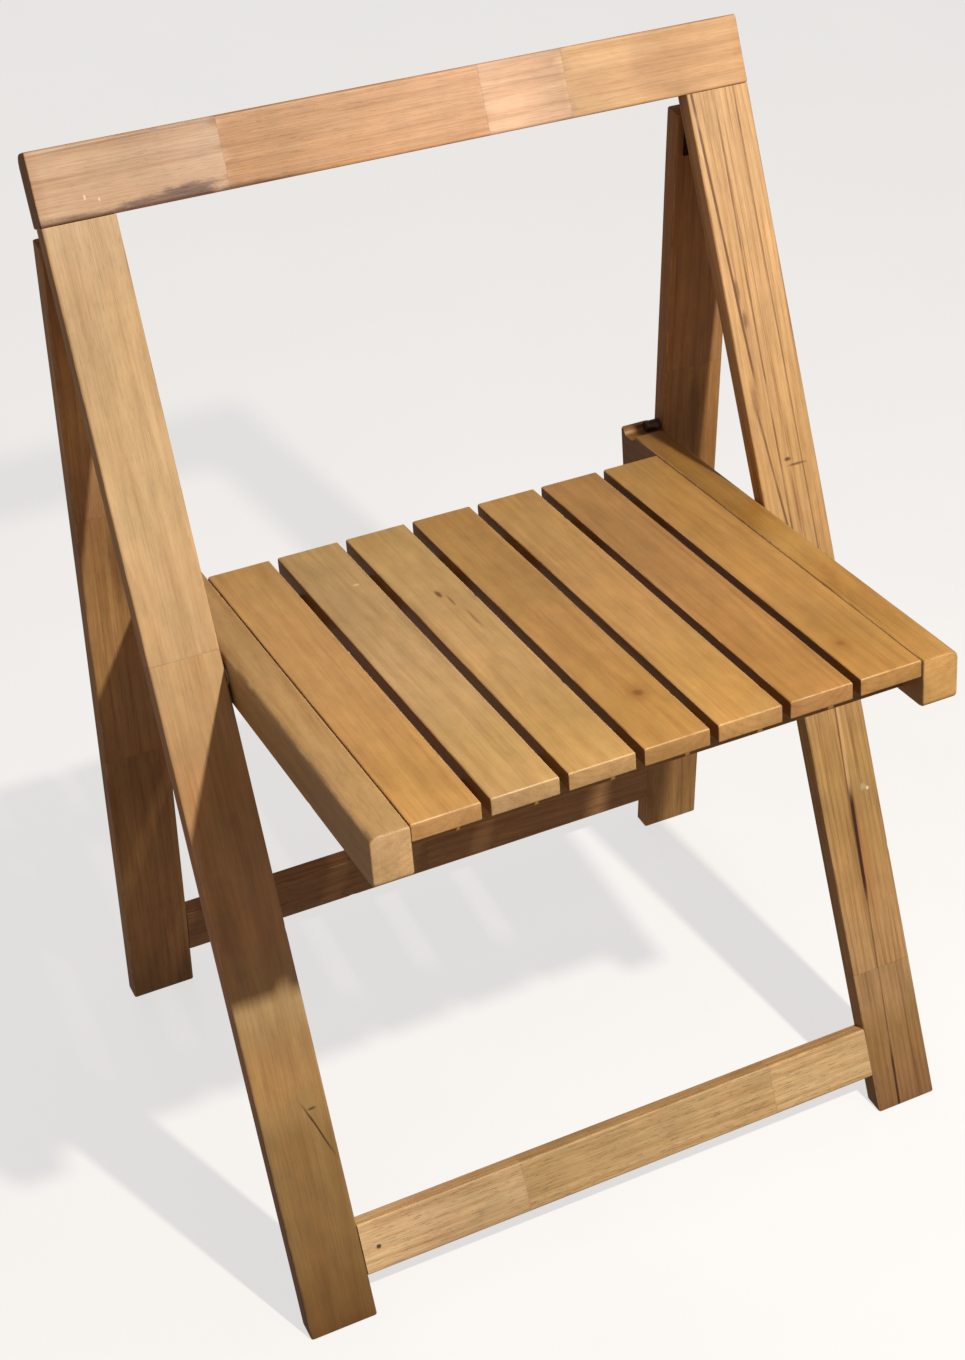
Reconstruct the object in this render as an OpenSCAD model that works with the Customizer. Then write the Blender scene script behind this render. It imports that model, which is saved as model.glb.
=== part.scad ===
// Folding chair: a leaning front frame, a rear frame hinged below its top rail,
// and a slatted seat that swings up between the front stiles.
// X runs across the chair, Y from front to back, Z up. The origin lies on the floor,
// at the middle of the chair's footprint.

/* [Front frame] */
// Width over the two stiles
chair_w = 520; // [460:5:560]
// Width of the stiles, the legs and the other upright boards
board_w = 50; // [44:1:56]
// Length of the front frame, measured up its front face
frame_len = 834; // [800:2:860]
// Thickness of the stiles and the front stretcher
stile_t = 16; // [15:0.5:18]
// Height of the top rail
rail_h = 49; // [44:1:54]
// Depth of the top rail
rail_d = 22; // [20:0.5:22]
// Angle by which the open front frame leans back
frame_lean = 26; // [25:0.5:27]
// Distance from the front foot to the stretcher, up the frame
stretcher_s = 30.5; // [28:0.5:40]
// Height of both stretchers
stretcher_h = 39; // [34:1:40]

/* [Rear frame] */
// Thickness of the rear legs and the rear stretcher
leg_t = 16; // [15:0.5:17]
// Angle by which the feet of the open rear legs splay back
leg_lean = 2; // [1.5:0.5:3]
// Distance from the underside of the top rail down to the hinge pins
hinge_drop = 17; // [16:0.5:20]
// Distance from the hinge pins down to the rear stretcher
rear_stretcher_drop = 610; // [560:1:612]

/* [Seat] */
// Angle by which the open seat falls to the rear
seat_tilt = 6.5; // [5.5:0.5:7.5]
// Distance from the front foot to the seat pivot, up the frame
pivot_s = 472; // [466:1:476]
// Distance from the seat's front edge to its pivot
pivot_u = 253; // [246:1:256]
// Distance from the seat's top down to its pivot
pivot_v = 17; // [16:0.5:17.5]
// Width of a seat rail
seat_rail_w = 27; // [25:1:30]
// Height of a seat rail
seat_rail_h = 37; // [35:1:38]
// Length of the slats
slat_len = 360; // [340:2:364]
// Thickness of the slats
slat_t = 13; // [12:0.5:14]
// Number of slats
slat_count = 7; // [7]
// Gap between two slats
slat_gap = 6; // [5:0.5:7]

/* [Fittings] */
// Diameter of the wooden dowels
dowel_d = 8; // [6:1:8]
// Diameter of the seat's pivot bolts
bolt_d = 6; // [6]
// Diameter of the catch pins in the rear legs
catch_d = 8; // [8:0.5:9]
// Length of a hinge along its pin
hinge_w = 38; // [34:1:40]

/* [Hidden] */
$fn = 48;

pale_wood = [0.80, 0.62, 0.42];
golden_wood = [0.76, 0.55, 0.31];
dark_wood = [0.52, 0.37, 0.24];
zinc_steel = [0.66, 0.66, 0.66];
black_steel = [0.13, 0.12, 0.12];
brass = [0.76, 0.62, 0.32];

LEFT = -1;
RIGHT = 1;
arris_r = 1.5;       // rounding of the boards' long edges
rail_back_r = 8;     // rounding of the top rail's upper rear edge
seat_edge_r = 5;     // rounding of the seat rails' outer top edges and front lower corners
eps = 0.5;           // overshoot of a cutting shape past a face

half_w = chair_w / 2;
stile_x = half_w - board_w / 2;      // middle of a stile or leg
inner_x = half_w - board_w;          // inner face of a stile or leg
stile_len = frame_len - rail_h;

// Hinge between a stile and a rear leg
pin_r = 1.5;
knuckle_r = 3;
leaf_t = 1.5;
leaf_len = 30;
leaf_stand = 3.2;                    // from the pin's axis to the wood on either side
hinge_play = 0.3;
pin_play = 0.05;
knuckle_w = (hinge_w - 2 * hinge_play) / 3;
leg_above_pin = 3;
hinge_screw_x = 12;
hinge_screw_drop = 20;
leaf_hole_r = 1.6;

// Unit vectors of the three open frames in the Y-Z plane
frame_back = [cos(frame_lean), -sin(frame_lean)];
frame_up = [sin(frame_lean), cos(frame_lean)];
leg_back = [cos(leg_lean), sin(leg_lean)];
leg_up = [-sin(leg_lean), cos(leg_lean)];
seat_back = [cos(seat_tilt), -sin(seat_tilt)];
seat_up = [sin(seat_tilt), cos(seat_tilt)];

// Hinge pin and seat pivot, measured from the front foot's front edge
hinge_s = stile_len - hinge_drop;
hinge_p = hinge_s * frame_up + (stile_t + leaf_stand) * frame_back;
pivot_p = pivot_s * frame_up + stile_t / 2 * frame_back;

// Catch pin in the middle of the leg's thickness, lying in a notch of the seat rail
catch_r = catch_d / 2;
catch_play = 0.4;
notch_depth = 5;
notch_reach = 14;                    // how far the notch runs forward of the catch pin
notch_lip = 5;                       // wood left behind the catch pin
catch_v = notch_depth - catch_r - catch_play;
catch_leg_y = leaf_stand + leg_t / 2;
to_seat_line = pivot_p + (pivot_v - catch_v) * seat_up - hinge_p;
catch_u = pivot_u + (catch_leg_y - to_seat_line * leg_back) / (seat_back * leg_back);
catch_p = pivot_p + (catch_u - pivot_u) * seat_back + (pivot_v - catch_v) * seat_up;
catch_drop = -(catch_p - hinge_p) * leg_up;
seat_rail_len = catch_u + catch_r + catch_play + notch_lip;

// Seat: the rails run just inside the stiles and legs
seat_play = 1.5;
seat_half_w = inner_x - seat_play;
rail_inner_x = seat_half_w - seat_rail_w;
seam = 0.4;
slat_set = 1.5;                      // slats start this far behind the rails' front ends
slat_w = (2 * rail_inner_x - 2 * seam - (slat_count - 1) * slat_gap) / slat_count;
slat_x = [for (i = [0 : slat_count - 1]) -rail_inner_x + seam + slat_w / 2 + i * (slat_w + slat_gap)];
batten_w = 25;
batten_h = 20;
front_batten_u = 25;
rear_batten_u = 300;

// Fasteners
bolt_r = bolt_d / 2;
bolt_head_r = 5;
bolt_head_h = 3.5;
hex_socket_r = 2;
hex_socket_depth = 2;
head_play = 0.5;
insert_r = 4.5;
insert_len = 20;
insert_end = 1;                      // closed end of the threaded insert
bush_r = 4.5;
washer_r = 7.5;
washer_t = 1.2;
dowel_r = dowel_d / 2;
dowel_len = 44;
dowel_pitch = 22;
batten_dowel_len = 34;
screw_r = 1.6;
screw_head_r = 3;
screw_head_h = 1.2;
hinge_screw_len = 12;
slat_screw_len = 27;
catch_in_leg = 25;
catch_out = 12;

// Footprint, which sets the origin
front_corner = pivot_p - (pivot_u - seat_edge_r) * seat_back
    + (pivot_v - seat_rail_h + seat_edge_r) * seat_up;
front_y = front_corner[0] - seat_edge_r;
leg_front_p = hinge_p + leaf_stand * leg_back;
rear_y = leg_front_p[0] + leg_front_p[1] * tan(leg_lean) + leg_t / cos(leg_lean);
origin_y = (front_y + rear_y) / 2;

// Places children in the frame's own axes: Y through its thickness, Z up its length
module in_frame() {
    translate([0, -origin_y, 0])
        rotate([-frame_lean, 0, 0])
            children();
}

// Places children in the rear leg's axes, from the hinge pin
module in_leg() {
    translate([0, hinge_p[0] - origin_y, hinge_p[1]])
        rotate([leg_lean, 0, 0])
            children();
}

// Places children in the seat's axes: Y back from the front edge, Z up from the top face
module in_seat() {
    translate([0, pivot_p[0] - origin_y, pivot_p[1]])
        rotate([-seat_tilt, 0, 0])
            translate([0, -pivot_u, pivot_v])
                children();
}

// Everything below the floor, for cutting the feet
module below_floor() {
    translate([-chair_w, -chair_w, -chair_w])
        cube([2 * chair_w, 2 * chair_w, chair_w]);
}

// Rectangle from the origin to [w, h], each corner with its own radius,
// counted from the origin anticlockwise
module rounded_rect(w, h, r) {
    difference() {
        square([w, h]);
        square([r[0], r[0]]);
        translate([w - r[1], 0])
            square([r[1], r[1]]);
        translate([w - r[2], h - r[2]])
            square([r[2], r[2]]);
        translate([0, h - r[3]])
            square([r[3], r[3]]);
    }
    translate([r[0], r[0]])
        circle(r[0]);
    translate([w - r[1], r[1]])
        circle(r[1]);
    translate([w - r[2], h - r[2]])
        circle(r[2]);
    translate([r[3], h - r[3]])
        circle(r[3]);
}

// Board with rounded long edges along X, Y from 0 to t and Z from 0 to h
module board_x(len, t, h) {
    rotate([90, 0, 90])
        linear_extrude(height = len, center = true)
            rounded_rect(t, h, [arris_r, arris_r, arris_r, arris_r]);
}

// Board with rounded long edges along Z, centred on X, Y from 0 to t
module board_z(w, t, len) {
    translate([-w / 2, 0, 0])
        linear_extrude(height = len)
            rounded_rect(w, t, [arris_r, arris_r, arris_r, arris_r]);
}

// Rod along X from x0 outward on the given side
module rod_x(side, x0, len, r) {
    translate([side * x0, 0, 0])
        rotate([0, side * 90, 0])
            cylinder(h = len, r = r);
}

// Screw with a pan head, its head's underside at the origin and its shank along -Z
module screw(len) {
    cylinder(h = screw_head_h, r = screw_head_r);
    translate([0, 0, -len])
        cylinder(h = len + eps, r = screw_r);
}

// ---- Front frame ----

module top_rail_dowel_set(side) {
    for (i = [-0.5, 0.5])
        translate([side * stile_x + i * dowel_pitch, stile_t / 2, stile_len - dowel_len / 2])
            cylinder(h = dowel_len, r = dowel_r);
}

module front_stretcher_dowel_set(side) {
    for (i = [-0.5, 0.5])
        translate([0, stile_t / 2, stretcher_s + stretcher_h / 2 + i * dowel_pitch])
            rod_x(side, inner_x - dowel_len / 2, dowel_len, dowel_r);
}

module stile_hinge_screw_set(side) {
    for (i = [-1, 1])
        translate([side * stile_x + i * hinge_screw_x, -leaf_stand + leaf_t, -hinge_screw_drop])
            rotate([-90, 0, 0])
                screw(hinge_screw_len);
}

// Places children at the hinge pin, in the frame's axes
module at_frame_hinge() {
    in_frame()
        translate([0, stile_t + leaf_stand, hinge_s])
            children();
}

module top_rail() {
    color(pale_wood)
        in_frame()
            difference() {
                translate([0, 0, stile_len])
                    rotate([90, 0, 90])
                        linear_extrude(height = chair_w, center = true)
                            rounded_rect(rail_d, rail_h, [arris_r, arris_r, rail_back_r, arris_r]);
                top_rail_dowel_set(LEFT);
                top_rail_dowel_set(RIGHT);
            }
}

module front_stile(side) {
    color(pale_wood)
        difference() {
            in_frame()
                translate([side * stile_x, 0, -stile_t])
                    board_z(board_w, stile_t, stile_len + stile_t);
            below_floor();
            in_frame() {
                top_rail_dowel_set(side);
                front_stretcher_dowel_set(side);
                translate([0, stile_t / 2, pivot_s])
                    rod_x(side, inner_x - eps, insert_len + eps, insert_r);
            }
            at_frame_hinge()
                stile_hinge_screw_set(side);
        }
}

module front_stretcher() {
    color(pale_wood)
        in_frame()
            difference() {
                translate([0, 0, stretcher_s])
                    board_x(2 * inner_x, stile_t, stretcher_h);
                front_stretcher_dowel_set(LEFT);
                front_stretcher_dowel_set(RIGHT);
            }
}

module top_rail_dowels() {
    color(pale_wood)
        in_frame() {
            top_rail_dowel_set(LEFT);
            top_rail_dowel_set(RIGHT);
        }
}

module front_stretcher_dowels() {
    color(pale_wood)
        in_frame() {
            front_stretcher_dowel_set(LEFT);
            front_stretcher_dowel_set(RIGHT);
        }
}

// Hinge leaf with its plate towards -Y. Outer knuckles when outer is true,
// the middle knuckle otherwise. bore_r is the hole for the pin.
module hinge_leaf(outer, bore_r) {
    difference() {
        union() {
            translate([-hinge_w / 2, -leaf_stand, -leaf_len])
                cube([hinge_w, leaf_t, leaf_len]);
            rotate([0, 90, 0])
                cylinder(h = hinge_w, r = knuckle_r, center = true);
        }
        rotate([0, 90, 0])
            cylinder(h = hinge_w + 2 * eps, r = bore_r, center = true);
        if (outer)
            knuckle_gap(knuckle_w / 2 + hinge_play);
        else
            for (side = [LEFT, RIGHT])
                translate([side * (hinge_w / 2 + eps), 0, 0])
                    knuckle_gap(hinge_w / 2 + eps - knuckle_w / 2);
        for (i = [-1, 1])
            translate([i * hinge_screw_x, -leaf_stand - eps, -hinge_screw_drop])
                rotate([-90, 0, 0])
                    cylinder(h = leaf_t + 2 * eps, r = leaf_hole_r);
    }
}

// Room for the other leaf's knuckle, half_len to each side
module knuckle_gap(half_len) {
    reach = knuckle_r + 2 * eps;
    translate([-half_len, -reach, -knuckle_r - hinge_play])
        cube([2 * half_len, 2 * reach, 2 * reach]);
}

module stile_hinge_leaf(side) {
    color(black_steel)
        at_frame_hinge()
            translate([side * stile_x, 0, 0])
                hinge_leaf(true, pin_r);
}

module stile_hinge_screws() {
    color(black_steel)
        at_frame_hinge() {
            stile_hinge_screw_set(LEFT);
            stile_hinge_screw_set(RIGHT);
        }
}

module hinge_pin(side) {
    color(zinc_steel)
        at_frame_hinge()
            translate([side * stile_x, 0, 0])
                rotate([0, 90, 0])
                    cylinder(h = hinge_w, r = pin_r, center = true);
}

// Places children at the seat pivot, in the seat's axes
module at_pivot() {
    in_seat()
        translate([0, pivot_u, -pivot_v])
            children();
}

module pivot_bolt(side) {
    shank_end = inner_x + insert_len - insert_end;
    color(zinc_steel)
        at_pivot()
            difference() {
                union() {
                    rod_x(side, rail_inner_x + head_play, bolt_head_h, bolt_head_r);
                    rod_x(side, rail_inner_x + head_play, shank_end - rail_inner_x - head_play, bolt_r);
                }
                translate([side * (rail_inner_x + head_play - eps), 0, 0])
                    rotate([0, side * 90, 0])
                        cylinder(h = hex_socket_depth + eps, r = hex_socket_r, $fn = 6);
            }
}

module pivot_insert(side) {
    color(brass)
        in_frame()
            translate([0, stile_t / 2, pivot_s])
                difference() {
                    rod_x(side, inner_x, insert_len, insert_r);
                    rod_x(side, inner_x - eps, insert_len - insert_end + eps, bolt_r);
                }
}

module pivot_washers() {
    color(zinc_steel)
        at_pivot()
            for (side = [LEFT, RIGHT])
                difference() {
                    rod_x(side, inner_x - washer_t, washer_t, washer_r);
                    rod_x(side, inner_x - washer_t - eps, washer_t + 2 * eps, bolt_r);
                }
}

// ---- Rear frame ----

module rear_stretcher_dowel_set(side) {
    for (i = [-0.5, 0.5])
        translate([0, catch_leg_y, -rear_stretcher_drop - stretcher_h / 2 + i * dowel_pitch])
            rod_x(side, inner_x - dowel_len / 2, dowel_len, dowel_r);
}

module leg_hinge_screw_set(side) {
    for (i = [-1, 1])
        translate([side * stile_x + i * hinge_screw_x, leaf_stand - leaf_t, -hinge_screw_drop])
            rotate([90, 0, 0])
                screw(hinge_screw_len);
}

module rear_leg(side) {
    color(dark_wood)
        difference() {
            in_leg()
                translate([side * stile_x, leaf_stand, -hinge_p[1] - leg_t])
                    board_z(board_w, leg_t, hinge_p[1] + leg_t + leg_above_pin);
            below_floor();
            in_leg() {
                rear_stretcher_dowel_set(side);
                leg_hinge_screw_set(side);
                translate([0, catch_leg_y, -catch_drop])
                    rod_x(side, inner_x - eps, catch_in_leg + eps, catch_r);
            }
        }
}

module rear_stretcher() {
    color(dark_wood)
        in_leg()
            difference() {
                translate([0, leaf_stand, -rear_stretcher_drop - stretcher_h])
                    board_x(2 * inner_x, leg_t, stretcher_h);
                rear_stretcher_dowel_set(LEFT);
                rear_stretcher_dowel_set(RIGHT);
            }
}

module rear_stretcher_dowels() {
    color(pale_wood)
        in_leg() {
            rear_stretcher_dowel_set(LEFT);
            rear_stretcher_dowel_set(RIGHT);
        }
}

module leg_hinge_leaf(side) {
    color(black_steel)
        in_leg()
            translate([side * stile_x, 0, 0])
                mirror([0, 1, 0])
                    hinge_leaf(false, pin_r + pin_play);
}

module leg_hinge_screws() {
    color(black_steel)
        in_leg() {
            leg_hinge_screw_set(LEFT);
            leg_hinge_screw_set(RIGHT);
        }
}

module catch_pin(side) {
    color(zinc_steel)
        in_leg()
            translate([0, catch_leg_y, -catch_drop])
                rod_x(side, inner_x - catch_out, catch_out + catch_in_leg, catch_r);
}

// ---- Seat ----

module batten_dowel_set(side) {
    for (u = [front_batten_u, rear_batten_u])
        translate([0, u + batten_w / 2, -slat_t - batten_h / 2])
            rod_x(side, rail_inner_x - batten_dowel_len / 2, batten_dowel_len, dowel_r);
}

// Notch in the seat rail's top, open forward of the catch pin
module catch_notch() {
    rotate([90, 0, 90])
        linear_extrude(height = chair_w, center = true)
            translate([catch_u, -notch_depth]) {
                translate([-notch_reach, 0])
                    square([notch_reach, notch_depth + eps]);
                translate([0, catch_r + catch_play])
                    circle(catch_r + catch_play);
                translate([-notch_reach, catch_r + catch_play])
                    square([notch_reach + catch_r + catch_play, catch_r]);
            }
}

module seat_rail(side) {
    color(golden_wood)
        in_seat()
            difference() {
                intersection() {
                    mirror([side == LEFT ? 1 : 0, 0, 0])
                        translate([rail_inner_x, seat_rail_len, -seat_rail_h])
                            rotate([90, 0, 0])
                                linear_extrude(height = seat_rail_len)
                                    rounded_rect(seat_rail_w, seat_rail_h,
                                        [arris_r, arris_r, seat_edge_r, arris_r]);
                    translate([0, 0, -seat_rail_h])
                        rotate([90, 0, 90])
                            linear_extrude(height = chair_w, center = true)
                                rounded_rect(seat_rail_len, seat_rail_h,
                                    [seat_edge_r, arris_r, arris_r, arris_r]);
                }
                catch_notch();
                batten_dowel_set(side);
                translate([0, pivot_u, -pivot_v]) {
                    rod_x(side, rail_inner_x - eps, seat_rail_w + 2 * eps, bush_r);
                    rod_x(side, rail_inner_x - eps, head_play + bolt_head_h + hinge_play + eps,
                        bolt_head_r + head_play);
                }
            }
}

module slat(index) {
    color(golden_wood)
        in_seat()
            difference() {
                translate([slat_x[index - 1] - slat_w / 2, slat_set + slat_len, -slat_t])
                    rotate([90, 0, 0])
                        linear_extrude(height = slat_len)
                            rounded_rect(slat_w, slat_t, [arris_r, arris_r, arris_r, arris_r]);
                batten_screw_set(front_batten_u);
                batten_screw_set(rear_batten_u);
            }
}

module batten(u) {
    color(dark_wood)
        in_seat()
            difference() {
                translate([0, u, -slat_t - batten_h])
                    board_x(2 * rail_inner_x, batten_w, batten_h);
                batten_dowel_set(LEFT);
                batten_dowel_set(RIGHT);
                batten_screw_set(front_batten_u);
                batten_screw_set(rear_batten_u);
            }
}

// Screws driven straight up through a batten, into the slats
module batten_screw_set(u) {
    for (x = slat_x)
        translate([x, u + batten_w / 2, -slat_t - batten_h])
            rotate([180, 0, 0])
                screw(slat_screw_len);
}

module batten_dowels() {
    color(pale_wood)
        in_seat() {
            batten_dowel_set(LEFT);
            batten_dowel_set(RIGHT);
        }
}

module front_batten_screws() {
    color(zinc_steel)
        in_seat()
            batten_screw_set(front_batten_u);
}

module rear_batten_screws() {
    color(zinc_steel)
        in_seat()
            batten_screw_set(rear_batten_u);
}

module pivot_bush(side) {
    bush_x0 = rail_inner_x + head_play + bolt_head_h + hinge_play;
    color(brass)
        at_pivot()
            difference() {
                rod_x(side, bush_x0, seat_half_w - bush_x0, bush_r);
                rod_x(side, bush_x0 - eps, seat_half_w - bush_x0 + 2 * eps, bolt_r + pin_play);
            }
}

top_rail();
front_stile(LEFT);  // front_stile_left
front_stile(RIGHT);  // front_stile_right
front_stretcher();
top_rail_dowels();
front_stretcher_dowels();
stile_hinge_leaf(LEFT);  // stile_hinge_leaf_left
stile_hinge_leaf(RIGHT);  // stile_hinge_leaf_right
stile_hinge_screws();
hinge_pin(LEFT);  // hinge_pin_left
hinge_pin(RIGHT);  // hinge_pin_right
pivot_bolt(LEFT);  // pivot_bolt_left
pivot_bolt(RIGHT);  // pivot_bolt_right
pivot_insert(LEFT);  // pivot_insert_left
pivot_insert(RIGHT);  // pivot_insert_right
pivot_washers();
rear_leg(LEFT);  // rear_leg_left
rear_leg(RIGHT);  // rear_leg_right
rear_stretcher();
rear_stretcher_dowels();
leg_hinge_leaf(LEFT);  // leg_hinge_leaf_left
leg_hinge_leaf(RIGHT);  // leg_hinge_leaf_right
leg_hinge_screws();
catch_pin(LEFT);  // catch_pin_left
catch_pin(RIGHT);  // catch_pin_right
seat_rail(LEFT);  // seat_rail_left
seat_rail(RIGHT);  // seat_rail_right
slat(1);  // slat_1
slat(2);  // slat_2
slat(3);  // slat_3
slat(4);  // slat_4
slat(5);  // slat_5
slat(6);  // slat_6
slat(7);  // slat_7
batten(front_batten_u);  // front_batten
batten(rear_batten_u);  // rear_batten
batten_dowels();
front_batten_screws();
rear_batten_screws();
pivot_bush(LEFT);  // pivot_bush_left
pivot_bush(RIGHT);  // pivot_bush_right
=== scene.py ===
import math
import random

import bmesh
import bpy
from mathutils import Matrix, Vector, noise


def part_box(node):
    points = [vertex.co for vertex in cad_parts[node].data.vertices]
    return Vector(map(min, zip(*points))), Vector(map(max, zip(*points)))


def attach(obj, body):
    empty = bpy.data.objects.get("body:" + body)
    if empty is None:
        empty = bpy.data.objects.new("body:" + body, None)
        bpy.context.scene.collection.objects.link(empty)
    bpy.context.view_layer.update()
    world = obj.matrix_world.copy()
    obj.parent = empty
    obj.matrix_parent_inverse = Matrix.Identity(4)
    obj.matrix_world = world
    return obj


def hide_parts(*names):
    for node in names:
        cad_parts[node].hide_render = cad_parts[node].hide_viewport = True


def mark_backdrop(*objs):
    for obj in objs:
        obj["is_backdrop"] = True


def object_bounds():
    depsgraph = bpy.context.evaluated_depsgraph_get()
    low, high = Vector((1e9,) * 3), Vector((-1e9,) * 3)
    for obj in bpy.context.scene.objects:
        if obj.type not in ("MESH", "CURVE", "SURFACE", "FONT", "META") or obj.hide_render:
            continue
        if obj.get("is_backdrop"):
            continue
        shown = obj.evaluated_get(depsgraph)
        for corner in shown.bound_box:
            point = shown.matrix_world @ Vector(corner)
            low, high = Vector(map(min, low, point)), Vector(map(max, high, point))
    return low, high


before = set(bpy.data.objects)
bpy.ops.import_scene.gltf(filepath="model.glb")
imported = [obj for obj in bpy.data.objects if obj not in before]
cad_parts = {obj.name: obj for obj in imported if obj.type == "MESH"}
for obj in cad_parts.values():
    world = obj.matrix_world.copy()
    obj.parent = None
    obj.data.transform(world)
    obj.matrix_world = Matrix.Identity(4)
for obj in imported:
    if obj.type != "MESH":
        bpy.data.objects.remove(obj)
cad_low, cad_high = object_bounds()

MM = 0.001
LEFT, RIGHT = -1, 1
BOARD_CREASE = math.radians(32)    # sharper edges than this stay sharp in the shading
SCREW_CREASE = math.radians(35)

# ---- The three board frames, as unit vectors in the row frame ----

FRAME_LEAN = math.radians(26)
LEG_LEAN = math.radians(2)
SEAT_TILT = math.radians(6.5)
ACROSS = Vector((1, 0, 0))
FRAME_BACK = Vector((0, math.cos(FRAME_LEAN), -math.sin(FRAME_LEAN)))
FRAME_UP = Vector((0, math.sin(FRAME_LEAN), math.cos(FRAME_LEAN)))
LEG_BACK = Vector((0, math.cos(LEG_LEAN), math.sin(LEG_LEAN)))
LEG_UP = Vector((0, -math.sin(LEG_LEAN), math.cos(LEG_LEAN)))
SEAT_BACK = Vector((0, math.cos(SEAT_TILT), -math.sin(SEAT_TILT)))
SEAT_UP = Vector((0, math.sin(SEAT_TILT), math.cos(SEAT_TILT)))

# A board's own axes: across its face, into its depth, along its grain
UPRIGHT_FRONT = (ACROSS, FRAME_BACK, FRAME_UP)
LEVEL_FRONT = (-FRAME_UP, FRAME_BACK, ACROSS)
UPRIGHT_REAR = (ACROSS, LEG_BACK, LEG_UP)
LEVEL_REAR = (-LEG_UP, LEG_BACK, ACROSS)
SEAT_LONG = (ACROSS, -SEAT_UP, SEAT_BACK)
SEAT_CROSS = (SEAT_BACK, SEAT_UP, ACROSS)


def local_box(node, axes):
    """Lowest and highest corner of a CAD node along a board's own axes, in metres."""
    turned = Matrix(axes)
    points = [turned @ v.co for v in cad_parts[node].data.vertices]
    low = Vector([min(p[i] for p in points) for i in range(3)])
    high = Vector([max(p[i] for p in points) for i in range(3)])
    return low, high


def size_of(node, axes):
    """Width, depth and length of a CAD node along a board's own axes, in metres."""
    low, high = local_box(node, axes)
    return high - low


def built(name, mesh):
    """A new object from a finished bmesh, which is freed."""
    data = bpy.data.meshes.new(name)
    mesh.to_mesh(data)
    mesh.free()
    piece = bpy.data.objects.new(name, data)
    bpy.context.scene.collection.objects.link(piece)
    return piece


def carved(piece, cutter, overlapping=False):
    """The mesh of a piece with a cutter's shape taken out. The cutter is used up."""
    cut = piece.modifiers.new("cut", "BOOLEAN")
    cut.operation, cut.solver, cut.object = "DIFFERENCE", "EXACT", cutter
    cut.use_self = overlapping
    bpy.context.view_layer.update()
    cut_piece = piece.evaluated_get(bpy.context.evaluated_depsgraph_get())
    data = bpy.data.meshes.new_from_object(cut_piece)
    piece.modifiers.clear()
    bpy.data.objects.remove(cutter)
    return data


# ---- Boards: lofted rounded rectangles with worn arrises and hand-sanded faces ----

ARC_STEPS = 4          # faces on each rounded long edge
FACE_STEPS = (5, 2)    # inner points across the wide and the narrow faces
SUPPORT = 0.5 * MM     # flat kept beside each rounded edge
SUPPORT_SHARE = 0.2    # and how much of a narrow face it may take
SANDED = 0.14 * MM     # how far sanding dips into a face at most
RUBBED = 0.3 * MM      # how far wear adds to an edge's rounding, on average
RING_GAP = 9 * MM      # about how far apart the cross sections are
END_STEPS = 3          # cross sections in a rounded end
SAME_PLACE = 0.01 * MM
SAME_POINT = 0.001 * MM
WEAR_SCALE = 14        # how often wear changes along an edge, per metre
WEAR_SHIFT = 3.1       # how far apart in that noise the seeds are
DIP_SCALE = 30         # how often sanding dips change across a board, per metre
DIP_SCALE_ALONG = 9
DIP_SHIFT = 7.7
DENTS = 3
DENT_PLACES = (0.04, 0.96)
DENT_SIZES = (0.5, 1.1)
DENT_REACH = 3.5 * MM
DENT_RINGS = (-4, -2.4, -1.2, 0, 1.2, 2.4, 4)
NOTCH_ARRIS = 0.4 * MM
FOOT_REACH = 70 * MM   # length over which the cross sections turn level at a foot


def section(low, high, radii, wear):
    """Points and outward directions of a rounded rectangle from low to high."""
    corners = (
        (low[0], low[1], 1, 1, 180), (high[0], low[1], -1, 1, 270),
        (high[0], high[1], -1, -1, 0), (low[0], high[1], 1, -1, 90),
    )
    arcs = []
    for (x, y, sx, sy, start), radius in zip(corners, radii):
        radius += wear
        arc = []
        for k in range(ARC_STEPS + 1):
            angle = math.radians(start + 90 * k / ARC_STEPS)
            out = Vector((math.cos(angle), math.sin(angle), 0))
            centre = Vector((x + sx * radius, y + sy * radius, 0))
            arc.append((centre + out * radius, out))
        arcs.append(arc)
    points = []
    for k, arc in enumerate(arcs):
        points += arc
        start, end = arc[-1][0], arcs[(k + 1) % 4][0][0]
        out = Vector(((end - start).y, -(end - start).x, 0)).normalized()
        length = (end - start).length
        steps = FACE_STEPS[k % 2]
        share = min(SUPPORT / max(length, SAME_POINT), SUPPORT_SHARE)
        fractions = [share] + [i / (steps + 1) for i in range(1, steps + 1)] + [1 - share]
        points += [(start.lerp(end, f), out) for f in fractions]
    return points


def end_margin(distance, radius):
    """How far a rounded end draws a side in, at a distance from the end."""
    if distance >= radius:
        return 0.0
    return radius - math.sqrt(max(radius**2 - (radius - distance) ** 2, 0.0))


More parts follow.
